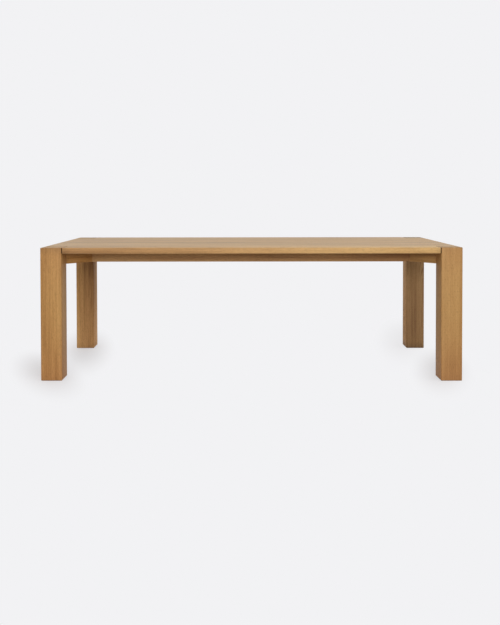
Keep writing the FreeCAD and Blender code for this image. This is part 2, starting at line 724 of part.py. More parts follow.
def place_glides(screw):
    feet = [(f"{way_x} * (dim.table_length - dim.leg_side) / 2",
             f"{way_y} * (dim.table_depth - dim.leg_side) / 2")
            for way_y in ENDS.values() for way_x in SIDES.values()]
    group("foot_glides", make_glide(), [(x, y, "0", Rotation()) for x, y in feet])
    upside_down = Rotation(Vector(1, 0, 0), 180)
    group("glide_screws", screw, [(x, y, "dim.glide_screw_recess", upside_down)
                                  for x, y in feet])


# -------------------------------------------------------------------------- assembly
for leg_end in ENDS:
    for leg_side in SIDES:
        make_leg(leg_end, leg_side)
        make_corner_block(leg_end, leg_side)
make_top()
for rail_side in SIDES:
    make_end_rail(rail_side)
for rail_end in ENDS:
    make_long_rail(rail_end)
for cross_station, cross_label in zip(CROSS_STATIONS, ("left", "middle", "right")):
    make_cross_rail(cross_station, f"cross_rail_{cross_label}")
place_rail_fasteners()
place_block_screws()
small_screw = make_small_screw()
place_clips(small_screw)
place_glides(small_screw)
doc.recompute()

# ------------------------------------------------------------------- checks and files
for item in doc.Objects:
    if "Invalid" in item.State or "Error" in item.State:
        raise RuntimeError(f"{item.Label} failed: {item.State}")
for piece in sub_parts:
    if piece.Shape.isNull() or not piece.Shape.isValid():
        raise RuntimeError(f"{piece.Label} has no valid shape")

os.makedirs("parts", exist_ok=True)
for piece in sub_parts:
    piece.Shape.exportStep(f"parts/{piece.Label}.step")
    print(piece.Label, len(piece.Shape.Solids), "solids", round(piece.Shape.Volume), "mm3")
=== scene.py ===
import math

import bpy
from mathutils import Euler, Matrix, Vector


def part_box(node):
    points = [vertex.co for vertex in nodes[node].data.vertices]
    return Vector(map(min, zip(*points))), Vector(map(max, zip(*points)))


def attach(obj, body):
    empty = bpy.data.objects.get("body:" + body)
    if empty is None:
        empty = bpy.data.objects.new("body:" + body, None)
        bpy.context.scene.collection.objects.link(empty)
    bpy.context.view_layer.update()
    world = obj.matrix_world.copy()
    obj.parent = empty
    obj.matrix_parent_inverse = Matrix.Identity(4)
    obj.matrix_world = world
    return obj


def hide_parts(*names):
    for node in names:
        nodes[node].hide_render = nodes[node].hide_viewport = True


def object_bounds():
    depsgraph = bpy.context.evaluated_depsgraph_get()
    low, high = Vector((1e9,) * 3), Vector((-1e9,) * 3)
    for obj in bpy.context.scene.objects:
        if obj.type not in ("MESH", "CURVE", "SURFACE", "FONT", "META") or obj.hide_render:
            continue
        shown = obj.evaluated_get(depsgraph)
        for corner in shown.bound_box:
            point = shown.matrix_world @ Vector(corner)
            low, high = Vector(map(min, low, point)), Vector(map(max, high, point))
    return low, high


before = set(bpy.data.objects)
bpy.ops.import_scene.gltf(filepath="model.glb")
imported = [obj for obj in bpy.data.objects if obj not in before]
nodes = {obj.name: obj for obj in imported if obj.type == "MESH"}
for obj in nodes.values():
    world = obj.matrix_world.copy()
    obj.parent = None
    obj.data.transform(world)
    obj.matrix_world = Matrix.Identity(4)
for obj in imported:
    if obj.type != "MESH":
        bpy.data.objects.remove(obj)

cad_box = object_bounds()

MM = 0.001


# ---------------------------------------------------------------- sizes of the joinery
LEG_EDGE = 3 * MM
FOOT_CHAMFER = 3 * MM
BOARD_EDGE = 2.5 * MM
EDGE_STEPS = 4
SMOOTH_ANGLE = math.radians(35)
TENON_CLEARANCE = 0.2 * MM
TENON_END_ROOM = 2 * MM
TENON_THICKNESS = 22 * MM
TENON_HEIGHT = 50 * MM
GLIDE_CLEARANCE = 0.1 * MM
GLIDE_OVERCUT = 0.4 * MM
GLIDE_SIDES = 64
LEG_SEAM = 4 * MM
SAME_PLACE = 0.05 * MM


# ----------------------------------------------------------------------- shader maths
def tone(red, green, blue):
    """A colour written in 0-255 screen values, as the linear value that a shader takes."""
    def linear(value):
        value /= 255
        return value / 12.92 if value <= 0.04045 else ((value + 0.055) / 1.055) ** 2.4
    return (linear(red), linear(green), linear(blue), 1.0)


class Wire:
    """A node's output socket, with the arithmetic of numbers as Math nodes."""

    def __init__(self, sheet, socket):
        self.sheet = sheet
        self.socket = socket

    def __add__(self, other):
        return self.sheet.math("ADD", self, other)

    def __radd__(self, other):
        return self.sheet.math("ADD", other, self)

    def __sub__(self, other):
        return self.sheet.math("SUBTRACT", self, other)

    def __rsub__(self, other):
        return self.sheet.math("SUBTRACT", other, self)

    def __mul__(self, other):
        return self.sheet.math("MULTIPLY", self, other)

    def __rmul__(self, other):
        return self.sheet.math("MULTIPLY", other, self)

    def __truediv__(self, other):
        return self.sheet.math("DIVIDE", self, other)

    def __rtruediv__(self, other):
        return self.sheet.math("DIVIDE", other, self)

    def minimum(self, other):
        return self.sheet.math("MINIMUM", self, other)

    def maximum(self, other):
        return self.sheet.math("MAXIMUM", self, other)

    def absolute(self):
        return self.sheet.math("ABSOLUTE", self)

    def root(self):
        return self.sheet.math("SQRT", self)

    def whole(self):
        return self.sheet.math("FLOOR", self)

    def fraction(self):
        return self.sheet.math("FRACT", self)

    def step(self, low, high):
        """0 below low, 1 above high, smooth between."""
        return self.sheet.node("ShaderNodeMapRange", {"interpolation_type": "SMOOTHSTEP"},
                               {"Value": self, "From Min": low, "From Max": high})


class Sheet:
    """The node tree of a material or of the world."""

    def __init__(self, owner):
        owner.use_nodes = True
        self.tree = owner.node_tree
        self.tree.nodes.clear()

    def node(self, kind, settings=None, inputs=None, output=0):
        """Add a node: its settings first, then a value or a wire for each input named."""
        made = self.tree.nodes.new(kind)
        for key, value in (settings or {}).items():
            if key == "stops":
                set_stops(made.color_ramp, value)
            else:
                setattr(made, key, value)
        for key, value in (inputs or {}).items():
            if isinstance(value, Wire):
                self.tree.links.new(value.socket, made.inputs[key])
            else:
                made.inputs[key].default_value = value
        return Wire(self, made.outputs[output]) if made.outputs else None

    def math(self, operation, *values):
        return self.node("ShaderNodeMath", {"operation": operation}, dict(enumerate(values)))

    def noise(self, vector, scale=1.0, detail=2.0, roughness=0.5, output=0):
        return self.node("ShaderNodeTexNoise", None,
                         {"Vector": vector, "Scale": scale, "Detail": detail,
                          "Roughness": roughness}, output)

    def mix(self, share, first, second):
        """Two colours mixed; a Mix node keeps its colours in sockets 6 and 7."""
        return self.node("ShaderNodeMix", {"data_type": "RGBA"},
                         {0: share, 6: first, 7: second}, output=2)

    def parts(self, vector):
        """A vector's three numbers."""
        split = self.node("ShaderNodeSeparateXYZ", None, {"Vector": vector})
        return [Wire(self, socket) for socket in split.socket.node.outputs]


def set_stops(ramp, stops):
    """Fill a colour ramp with (place, colour) stops."""
    while len(ramp.elements) < len(stops):
        ramp.elements.new(0.5)
    for element, (place, colour) in zip(ramp.elements, stops):
        element.position = place
        element.color = colour


def new_material(name):
    material = bpy.data.materials.new(name)
    return material, Sheet(material)


# ------------------------------------------------------------------- tones of the wood
# pale early wood, middle tone and dark late wood of an oiled, straight-grained hardwood
PALE = tone(214, 169, 108)
MIDDLE = tone(195, 147, 89)
DARK = tone(161, 115, 63)
DARKEST = tone(128, 86, 44)
WOOD_TONES = [(0.0, PALE), (0.36, MIDDLE), (0.8, DARK), (1.0, DARKEST)]
PORE = tone(98, 66, 36)
END_GRAIN = tone(140, 101, 60)
RUBBED = tone(214, 176, 124)
# a paler, greyer tone over faces that look up: painted sheen, the pale surroundings seen
# glancing off the oiled faces
UP_SHEEN = tone(199, 180, 135)
# painted shade inside the shadow gap round each leg
SEAM_SHADE = tone(58, 38, 22)

# how much of its own tone each of them puts over the wood; on faces that look up the painted
# sheen takes half of the end grain's tone off, and an arris takes its tone most where a streak
# is dark
PORE_SHARE = 0.55
END_SHARE = 0.42
END_SHEEN_OFF = 0.5
GLUE_SHARE = 0.45
ARRIS_TONE_SHARE = 0.35
ARRIS_TONE_ALL_OVER = 0.25
ARRIS_TONE_IN_STREAKS = 0.5
UP_SHEEN_SHARE = 0.30
SEAM_SHADE_SHARE = 0.85

# how far a glue line, an arris's band (wear on the boards, painted shade on the posts)
# and a darker cut end are full, and how far they reach
GLUE_LINE = (0.1 * MM, 0.5 * MM)
ARRIS_BAND = (0.8 * MM, 4.5 * MM)
END_DARKENING_REACH = (0.0, 55 * MM)
# how far in from its mouth the painted shade in a seam begins, and how far in it is full
SEAM_MOUTH = (0.0, 3 * MM)
# how squarely a face has to look one way before it counts as facing that way
FACING = (0.75, 0.97)


# ------------------------------------------------------------------ grain of the wood
# the turn that lays a pattern's length along the grain
GRAIN = {"length": (0.0, 0.0, 0.0),
         "depth": (0.0, 0.0, math.pi / 2),
         "upright": (0.0, -math.pi / 2, 0.0),
         "slant": (0.0, 0.0, math.pi / 4),
         "back slant": (0.0, 0.0, -math.pi / 4)}

# patterns drawn out along the grain: how fine they are along it and across it, per
# metre, and the detail and roughness of their noise, which lies round its middle value
NOISE_MIDDLE = 0.5
PITH_PATH = (1.1, 0.0, 2.0, 0.5)
BULGES = (2.2, 11.0, 3.0, 0.5)
STREAKS = (1.3, 62.0, 4.0, 0.62)
FIBRES = (14.0, 520.0, 3.0, 0.6)
DASHES = (60.0, 1300.0, 1.0, 0.5)
CLOUDS = (1.7, 7.0, 2.0, 0.5)
SEED_SHIFT = Vector((7.31, 3.17, 1.93))

# how far the pith strays, how far a ring bulges and how far all rings swell, in metres
PITH_STRAY = 0.05
RING_BULGE = 0.011
RING_SWELL = 0.012

# late wood comes on slowly through a year and ends at once; pores are the strong dashes
LATE_START = (0.35, 0.92)
LATE_END = (0.93, 1.0)
PORES = (0.58, 0.68)
PORES_LOST_IN_LATE = 0.75

# how much each pattern darkens the wood, raises its surface and roughens it
GROUND_DARK = 0.40
LATE_DARK = 0.22
YEAR_DARK = 0.40
END_DARK = 0.25
STREAK_DARK = 2.0
FIBRE_DARK = 0.8
CLOUD_DARK = 0.9
DARK_SCALE = 0.8
EARLY_RELIEF = 0.35
FIBRE_RELIEF = 0.5
PORE_RELIEF = 0.9
STREAK_RELIEF = 0.3
RELIEF = {"Strength": 0.22, "Distance": 0.6 * MM}
FIBRE_ROUGH = 0.12
PORE_ROUGH = 0.15
LATE_ROUGH = 0.04
END_ROUGH = 0.06
WIPED_ROUGHNESS = 0.50
OIL_IOR = 1.46

# warmer wood is redder and fuller in colour; a hue is a share of a full turn
FULL_TURN = 360
HUE_AS_IT_IS = 0.5
WARM_TURN = 0.02
WARM_FILL = 0.3


class Timber:
    """One piece's wood: how it was cut from the tree, and its tone and finish."""

    # one year's growth, and how far the rings close in on the pith in a metre of length
    ring = 3 * MM
    taper = 0.004
    # how dark the late wood of a year is, and how strong the broad streaks are
    figure = 1.0
    streaks = 1.0
    # how much paler it grows per metre, along the grain and both ways across it: on the
    # front board a drift in its own tone; on the posts, the front rail and the front corner
    # blocks painted shade, darker high up under the top on the rear-left post, the rail and
    # the blocks, and darker low down by the floor on the other posts
    tone_and_shade_slope = (0.0, 0.0, 0.0)
    # how bright it is, and how much brighter its left and right faces are: painted light,
    # which leaves a rear post's front face darker as painted shade under the top
    shade = 1.0
    sides = (0.0, 0.0)
    # how much darker it is by its cut ends: the foot or left one, and the top or right one;
    # at a post's foot it is painted shade by the floor
    darker_by_ends = (0.0, 0.0)
    # how much redder it is
    warmth = 0.0
    # how much yellower, in degrees of hue: at its middle, for each metre along the grain
    # from there, and for the square of these metres
    golden = (0.0, 0.0, 0.0)
    # its roughness where it isn't wiped, and the tone of its arrises: RUBBED is wear, and
    # the posts' DARK is painted shade along their rounded arrises
    gloss = 0.55
    arris_tone = RUBBED

    def __init__(self, along, pith, seed, **look):
        """along is the way of the grain; pith is the pith's place from the piece's middle."""
        self.along = along
        self.pith = pith
        self.seed = seed
        for trait, value in look.items():
            setattr(self, trait, value)


# the posts' DARK arris tone is painted shade along their rounded arrises
LEG_TIMBER = {
    "leg_front_left": Timber("upright", (0.11, 0.13), 17.3, streaks=0.6, gloss=0.58,
                             tone_and_shade_slope=(0.1, 0.0, -1.0), shade=1.085, warmth=0.15,
                             darker_by_ends=(0.05, 0.19), golden=(0.7, 2.4, -14.0),
                             arris_tone=DARK),
    "leg_front_right": Timber("upright", (-0.14, 0.10), 19.4, figure=0.8, streaks=0.4,
                              gloss=0.58, tone_and_shade_slope=(0.1, 0.0, 0.0), shade=0.98, warmth=0.1,
                              darker_by_ends=(0.05, 0.05), golden=(0.7, 3.0, -15.0),
                              arris_tone=DARK),
    # the rear posts' brighter sides leave their front faces darker: painted shade under the top
    "leg_rear_left": Timber("upright", (0.09, -0.15), 8.2, streaks=0.8, gloss=0.66,
                            tone_and_shade_slope=(-1.1, 2.0, 3.5), shade=1.17, sides=(0.0, 0.41),
                            darker_by_ends=(0.13, 0.0), golden=(-0.4, 3.6, 0.0), arris_tone=DARK),
    "leg_rear_right": Timber("upright", (0.004, -0.05), 24.4, taper=0.012, figure=1.1,
                             streaks=0.8, gloss=0.66, tone_and_shade_slope=(0.3, 1.0, -1.0), shade=0.725,
                             warmth=-0.1, sides=(0.67, 0.2), darker_by_ends=(0.32, 0.0),
                             golden=(-1.0, 2.0, 8.0), arris_tone=DARK),
}
BOARD_TIMBER = {
    "top_board_front": Timber("length", (0.02, -0.16), 20.3, taper=0.002, streaks=0.8,
                              tone_and_shade_slope=(0.32, 0.0, 0.0), shade=1.26, warmth=-0.1,
                              darker_by_ends=(0.14, 0.14), golden=(0.2, 1.2, 0.0)),
    "top_board_2": Timber("length", (0.03, -0.055), 24.0, taper=0.009, streaks=1.7,
                          shade=1.08),
    "top_board_3": Timber("length", (-0.05, -0.13), 27.7, streaks=1.6, shade=1.18,
                          warmth=-0.1),
    "top_board_4": Timber("length", (0.01, -0.045), 31.4, taper=0.011, streaks=1.6,
                          shade=1.05),
    "top_board_5": Timber("length", (0.09, -0.12), 35.1, streaks=1.6, shade=1.17),
    "top_board_6": Timber("length", (-0.02, -0.05), 38.8, taper=0.008, streaks=1.7,
                          shade=1.08, warmth=0.1),
    "top_board_7": Timber("length", (-0.10, -0.10), 42.5, streaks=1.6, shade=1.07),
    "top_board_rear": Timber("length", (0.04, -0.14), 46.2, taper=0.003, streaks=1.6,
                             shade=1.13),
}
FRAME_TIMBER = {
    # the front rail and the front corner blocks grow darker towards their tops: painted shade
    # under the top
    "long_rail_front": Timber("length", (0.08, -0.12), 60.1, tone_and_shade_slope=(-0.4, 0.0, -4.0),
                              shade=1.01, golden=(-1.5, 0.0, 0.0)),
    "long_rail_rear": Timber("length", (0.05, -0.12), 62.4, shade=0.99),
    "end_rail_left": Timber("depth", (0.02, -0.12), 64.7, shade=1.01),
    "end_rail_right": Timber("depth", (-0.01, -0.12), 67.0, shade=0.97),
    "cross_rail_left": Timber("depth", (0.08, -0.12), 69.3, shade=0.99),
    "cross_rail_middle": Timber("depth", (0.05, -0.12), 71.6, shade=1.01),
    "cross_rail_right": Timber("depth", (0.02, -0.12), 73.9, shade=0.97),
    "corner_block_front_left": Timber("slant", (-0.01, -0.12), 76.2, shade=0.97,
                                      tone_and_shade_slope=(0.0, 0.0, -5.0), warmth=0.3),
    "corner_block_front_right": Timber("back slant", (0.08, -0.12), 78.5, shade=0.86,
                                       tone_and_shade_slope=(0.0, 0.0, -4.0), warmth=0.1),
    "corner_block_rear_left": Timber("back slant", (0.05, -0.12), 80.8, shade=0.97),
    "corner_block_rear_right": Timber("slant", (0.02, -0.12), 83.1, shade=0.99),
    "rail_dowels": Timber("length", (0.03, 0.02), 95.0, ring=1.5 * MM, shade=1.1,
                          warmth=-0.4),
    "cross_rail_dowels": Timber("depth", (0.03, 0.02), 96.0, ring=1.5 * MM, shade=1.1,
                                warmth=-0.4),
}


# -------------------------------------------------------------------- wood materials
def drawn_out(sheet, grain, pattern, seed, output=0):
    """A noise drawn out along the grain."""
    along, across, detail, roughness = pattern
    place = sheet.node("ShaderNodeMapping", None,
                       {"Vector": grain, "Location": SEED_SHIFT * seed,
                        "Scale": (along, across, across)})
    return sheet.noise(place, detail=detail, roughness=roughness, output=output)


def year_rings(sheet, timber, grain, spots):
    """The late wood of the rings round the pith, and how dark each year's is.

    The pith strays a little along the tree, and the rings aren't quite round. Faces
    show them as lines or arches and ends show them as arcs, because they are solid.
    """
    u, v, w = spots
    stray = drawn_out(sheet, grain, PITH_PATH, timber.seed, output="Color")
    stray_v, stray_w, swell = (part - NOISE_MIDDLE for part in sheet.parts(stray))
    bulge = drawn_out(sheet, grain, BULGES, timber.seed) - NOISE_MIDDLE
    off_v = v - timber.pith[0] + stray_v * PITH_STRAY
    off_w = w - timber.pith[1] + stray_w * PITH_STRAY
    radius = (off_v * off_v + off_w * off_w).root() + u * timber.taper \
        + bulge * RING_BULGE + swell * RING_SWELL
    growth = radius / timber.ring
    season = growth.fraction()
    late = season.step(*LATE_START) * (1 - season.step(*LATE_END))
    year = sheet.node("ShaderNodeTexWhiteNoise", {"noise_dimensions": "1D"},
                      {"W": growth.whole() + timber.seed})
    return late, year


def faces(sheet, along):
    """Which way a face looks, from 0 to 1 each: along the fibres, up, left and right."""
    normal = sheet.node("ShaderNodeTexCoord", output="Normal")
    fibres = Euler(GRAIN[along]).to_matrix() @ Vector((1, 0, 0))
    cut = sheet.node("ShaderNodeVectorMath", {"operation": "DOT_PRODUCT"},
                     {0: normal, 1: fibres}, output="Value")
    across, _, upwards = sheet.parts(normal)
    return [look.step(*FACING) for look in (cut.absolute(), upwards, 0 - across, across)]


def depths(spots, low, high):
    """How far inside a box a point is, from each pair of its faces."""
    return [(spot - a).minimum(b - spot) for spot, a, b in zip(spots, low, high)]


def arris_gap(spots, box):
    """How far the nearest arris is: the second smallest of a point's three depths."""
    x_gap, y_gap, z_gap = depths(spots, *box)
    return x_gap.minimum(y_gap).maximum(x_gap.maximum(y_gap).minimum(z_gap))


def wood(name, timber, box, worn=None, glued=(), seams=(), half_length=0.0):
    """Solid wood for one piece that fills the box.

    worn is the box whose arrises wear, glued lists the glue lines' places across the
    depth, seams lists the boxes of the shadow gaps round the legs, and half_length is
    how far the cut ends are from the middle.
    """
    material, sheet = new_material(name)
    place = sheet.node("ShaderNodeTexCoord", output="Object")
    spots = sheet.parts(place)
    grain = sheet.node("ShaderNodeMapping", {"vector_type": "TEXTURE"},
                       {"Vector": place, "Location": (box[0] + box[1]) / 2,
                        "Rotation": GRAIN[timber.along]})
    grain_spots = sheet.parts(grain)
    u = grain_spots[0]
    late, year = year_rings(sheet, timber, grain, grain_spots)
    streak, fibre, dash, cloud = (
        drawn_out(sheet, grain, pattern, timber.seed + number)
        for number, pattern in enumerate((STREAKS, FIBRES, DASHES, CLOUDS), start=1))
    pores = dash.step(*PORES) * (1 - late * PORES_LOST_IN_LATE)
    end, facing_up, left, right = faces(sheet, timber.along)

    # ends of the grain drink more oil, and faces that look up get a painted sheen: a paler,
    # greyer tone
    dark = late * (LATE_DARK + year * YEAR_DARK + end * END_DARK) * timber.figure \
        + (streak - NOISE_MIDDLE) * (STREAK_DARK * timber.streaks) \
        + (fibre - NOISE_MIDDLE) * FIBRE_DARK + (cloud - NOISE_MIDDLE) * CLOUD_DARK \
        + GROUND_DARK
    # paler per metre along each way: painted shade on the posts, rail and blocks, own tone on
    # the front board
    for spot, tone_and_shade_slope in zip(grain_spots, timber.tone_and_shade_slope):
        dark = dark - spot * tone_and_shade_slope
    colour = sheet.node("ShaderNodeValToRGB", {"stops": WOOD_TONES}, {0: dark * DARK_SCALE})
    colour = sheet.mix(pores * PORE_SHARE, colour, PORE)
    colour = sheet.mix(end * END_SHARE * (1 - facing_up * END_SHEEN_OFF), colour, END_GRAIN)
    for line in glued:
        joint = 1 - (spots[1] - line).absolute().step(*GLUE_LINE)
        colour = sheet.mix(joint * GLUE_SHARE, colour, DARK)
    # an arris takes its timber's arris tone: wear on the boards, painted shade on the posts
    arris_wear_and_shade = (1 - arris_gap(spots, worn or box).step(*ARRIS_BAND)) \
        * (ARRIS_TONE_ALL_OVER + streak * ARRIS_TONE_IN_STREAKS)
    colour = sheet.mix(arris_wear_and_shade * ARRIS_TONE_SHARE, colour, timber.arris_tone)

    # painted light makes a side face brighter, and the wood is darker beside a cut end,
    # which at a post's foot is painted shade by the floor
    bright = timber.shade
    for face, gain in zip((left, right), timber.sides):
        bright = face * gain + bright
    # darker beside a cut end: painted shade by the floor at a post's foot
    for side, share in zip((1, -1), timber.darker_by_ends):
        if share:
            near_end = 1 - (u * side + half_length).step(*END_DARKENING_REACH)
            bright = bright * (1 - near_end * (1 - facing_up) * share)
    at_middle, per_metre, per_square = timber.golden
    golden = ((u * per_square + per_metre) * u + at_middle) / FULL_TURN
    colour = sheet.node("ShaderNodeHueSaturation", None,
                        {"Hue": golden + (HUE_AS_IT_IS - timber.warmth * WARM_TURN),
                         "Saturation": 1.0 + timber.warmth * WARM_FILL,
                         "Value": bright, "Color": colour})
    # painted sheen on faces that look up
    colour = sheet.mix(facing_up * UP_SHEEN_SHARE, colour, UP_SHEEN)

    # painted shade inside the gap round a leg, starting a little way in from its mouth
    for seam in seams:
        x_gap, y_gap, z_gap = depths(spots, *seam)
        inside = x_gap.minimum(y_gap).minimum(z_gap).step(*SEAM_MOUTH)
        colour = sheet.mix(inside * SEAM_SHADE_SHARE, colour, SEAM_SHADE)

    height = (1 - late) * EARLY_RELIEF + fibre * FIBRE_RELIEF - pores * PORE_RELIEF \
        + streak * STREAK_RELIEF
    rough = (fibre - NOISE_MIDDLE) * FIBRE_ROUGH + pores * PORE_ROUGH \
        - late * LATE_ROUGH + end * END_ROUGH \
        - facing_up * (timber.gloss - WIPED_ROUGHNESS) + timber.gloss
    bump = sheet.node("ShaderNodeBump", None, {**RELIEF, "Height": height})
    shader = sheet.node("ShaderNodeBsdfPrincipled", None,
                        {"Base Color": colour, "Roughness": rough, "Normal": bump,
                         "IOR": OIL_IOR})
    sheet.node("ShaderNodeOutputMaterial", None, {"Surface": shader})
    return material


# ---------------------------------------------------------------- hardware materials
ZINC = tone(168, 168, 164)
CLIP_STEEL = tone(150, 147, 138)
BRIGHT_ZINC = tone(205, 203, 192)
ZINC_ROUGHNESS = 0.34
CLIP_ROUGHNESS = 0.42
MOTTLE = {"scale": 220.0, "detail": 4.0, "roughness": 0.6}
MOTTLE_ROUGH = 0.2
TURNING_MARKS = {"scale": 2400.0}
TURNING_RELIEF = {"Strength": 0.12, "Distance": 0.1 * MM}
NYLON = tone(58, 54, 50)
SCUFFED_NYLON = tone(92, 87, 80)
SCUFFS = {"scale": 320.0, "detail": 5.0, "roughness": 0.65}
SCUFF_LIMITS = (0.52, 0.7)
NYLON_ROUGHNESS = 0.45
SCUFF_ROUGH = 0.25


def metal(name, colour, roughness):
    """Zinc-plated steel with faint mottling and fine turning marks."""
    material, sheet = new_material(name)
    place = sheet.node("ShaderNodeTexCoord", output="Object")
    mottle = sheet.noise(place, **MOTTLE)
    marks = sheet.noise(place, **TURNING_MARKS)
    bump = sheet.node("ShaderNodeBump", None, {**TURNING_RELIEF, "Height": marks})
    shader = sheet.node("ShaderNodeBsdfPrincipled", None,
                        {"Base Color": sheet.mix(mottle, colour, BRIGHT_ZINC), "Metallic": 1.0,
                         "Roughness": (mottle - NOISE_MIDDLE) * MOTTLE_ROUGH + roughness,
                         "Normal": bump})
    sheet.node("ShaderNodeOutputMaterial", None, {"Surface": shader})
    return material


def nylon(name):
    """Dark moulded nylon, scuffed where it slides on the floor."""
    material, sheet = new_material(name)
    place = sheet.node("ShaderNodeTexCoord", output="Object")
    scuff = sheet.noise(place, **SCUFFS).step(*SCUFF_LIMITS)
    shader = sheet.node("ShaderNodeBsdfPrincipled", None,
                        {"Base Color": sheet.mix(scuff, NYLON, SCUFFED_NYLON),
                         "Roughness": scuff * SCUFF_ROUGH + NYLON_ROUGHNESS})
    sheet.node("ShaderNodeOutputMaterial", None, {"Surface": shader})
    return material


# -------------------------------------------------------------------- modelling tools
def near(a, b):
    """Whether two measures are the same, but for rounding."""
    return abs(a - b) < SAME_PLACE


def choose(piece, wanted):
    """In edit mode, select only the edges that the test picks by their two ends."""
    bpy.ops.object.mode_set(mode="EDIT")
    bpy.ops.mesh.select_mode(type="EDGE")
    bpy.ops.mesh.select_all(action="DESELECT")
    bpy.ops.object.mode_set(mode="OBJECT")
    points = piece.data.vertices
    for edge in piece.data.edges:
        edge.select = bool(wanted(*(points[i].co for i in edge.vertices)))
    bpy.ops.object.mode_set(mode="EDIT")


def settle(name):
    """Name the piece just added, and move its place and size into its mesh."""
    piece = bpy.context.object
    piece.name = name
    bpy.ops.object.transform_apply(location=True, rotation=True, scale=True)
    return piece


def add_box(name, low, high):
    """A box between two corners, made the only selected object."""
    bpy.ops.object.select_all(action="DESELECT")
    bpy.ops.mesh.primitive_cube_add(size=1, location=(low + high) / 2, scale=high - low)
    return settle(name)


def add_disc(name, bottom, top, radius):
    """An upright disc between the middles of its two ends, the only selected object."""
    bpy.ops.object.select_all(action="DESELECT")
    bpy.ops.mesh.primitive_cylinder_add(vertices=GLIDE_SIDES, radius=radius,
                                        depth=top.z - bottom.z, location=(bottom + top) / 2)
    return settle(name)


def only(piece):
    """Make a piece the only selected one, and the active one."""
    bpy.ops.object.select_all(action="DESELECT")
    piece.select_set(True)
    bpy.context.view_layer.objects.active = piece


def carve(piece, cutter):
    """Cut one mesh out of another and throw the cutter away."""
    only(piece)
    cutting = piece.modifiers.new("carve", "BOOLEAN")
    cutting.operation = "DIFFERENCE"
    cutting.solver = "EXACT"
    cutting.object = cutter
    bpy.ops.object.modifier_apply(modifier=cutting.name)
    bpy.data.objects.remove(cutter)


def soften(piece, wanted, size, steps):
    """Bevel the chosen edges."""
    choose(piece, wanted)
    bpy.ops.mesh.bevel(offset=size, offset_type="OFFSET", segments=steps, profile=0.5,
                       affect="EDGES")
    bpy.ops.object.mode_set(mode="OBJECT")


def dress(piece, node, material):
    """Finish a piece that stands for a CAD node."""
    only(piece)
    bpy.ops.object.mode_set(mode="EDIT")
    bpy.ops.mesh.select_all(action="SELECT")
    bpy.ops.mesh.normals_make_consistent(inside=False)
    bpy.ops.object.mode_set(mode="OBJECT")
    bpy.ops.object.shade_smooth_by_angle(angle=SMOOTH_ANGLE)
    piece.data.materials.clear()
    piece.data.materials.append(material)
    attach(piece, "root")
    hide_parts(node)


# --------------------------------------------------------------------------- the legs
def shape_post(node, low, high):
    """A square post with rounded arrises and a chamfered foot."""
    post = add_box(f"{node}_post", low, high)

    def at(height):
        return lambda a, b: near(a.z, height) and near(b.z, height)

    at_foot = at(low.z)
    soften(post, lambda a, b: not at_foot(a, b), LEG_EDGE, EDGE_STEPS)
    lowest = min(point.co.z for point in post.data.vertices)
    soften(post, at(lowest), FOOT_CHAMFER, 1)
    bpy.ops.object.mode_set(mode="EDIT")
    bpy.ops.mesh.select_all(action="SELECT")
    bpy.ops.mesh.remove_doubles(threshold=SAME_PLACE)
    bpy.ops.object.mode_set(mode="OBJECT")
    return post


def cut_mortise(post, node, low, high):
    """The mortise for the end rail's tenon, deeper than the tenon is long."""
    side = node.rsplit("_", 1)[1]
    rail_low, rail_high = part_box(f"end_rail_{side}")
    inwards = 1 if low.y < 0 else -1
    mouth = (high.y if inwards > 0 else low.y) + inwards * TENON_CLEARANCE
    bottom = (rail_low.y if inwards > 0 else rail_high.y) - inwards * TENON_END_ROOM
    middle = (rail_low + rail_high) / 2
    middle.y = (mouth + bottom) / 2
    half = Vector((TENON_THICKNESS / 2 + TENON_CLEARANCE, abs(mouth - bottom) / 2,
                   TENON_HEIGHT / 2 + TENON_CLEARANCE))
    carve(post, add_box("mortise", middle - half, middle + half))


def cut_glide_seat(post, low, high):
    """The round seat in the foot that the glide fits into."""
    glide_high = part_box("foot_glides")[1]
    middle = (low + high) / 2
    bottom = Vector((*middle.xy, low.z - GLIDE_OVERCUT))
    top = Vector((*middle.xy, glide_high.z))
    carve(post, add_disc("glide_seat", bottom, top,
                         glide_high.x - abs(middle.x) + GLIDE_CLEARANCE))


def seam_round(leg, board):
    """The box of the shadow gap between a leg and a board, open at its mouths."""
    leg_low, leg_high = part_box(leg)
    board_low, board_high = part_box(board)
    low = Vector((*leg_low.xy, board_low.z))
    high = Vector((*leg_high.xy, board_high.z))
    for axis in (0, 1):
        inner = high if low[axis] < 0 else low
        inner[axis] -= math.copysign(2 * LEG_SEAM, inner[axis])
    return low, high


def make_legs():
    """The posts, each of its own timber."""
    for node, timber in LEG_TIMBER.items():
        low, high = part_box(node)
        post = shape_post(node, low, high)
        cut_mortise(post, node, low, high)
        cut_glide_seat(post, low, high)
        board = f"top_board_{node.split('_')[1]}"
        dress(post, node, wood(node, timber, (low, high), seams=[seam_round(node, board)],
                               half_length=(high.z - low.z) / 2))


# ------------------------------------------------------------------------- the boards
def posts_beside(board):
    """The posts that a board is notched round."""
    end = board.rsplit("_", 1)[1]
    return [leg for leg in LEG_TIMBER if f"_{end}_" in leg]


def glue_lines(low, high):
    """A board's long faces that are glued to the next board."""
    outer = [corner.y for corner in cad_box]
    return [y for y in (low.y, high.y) if not any(near(y, face) for face in outer)]


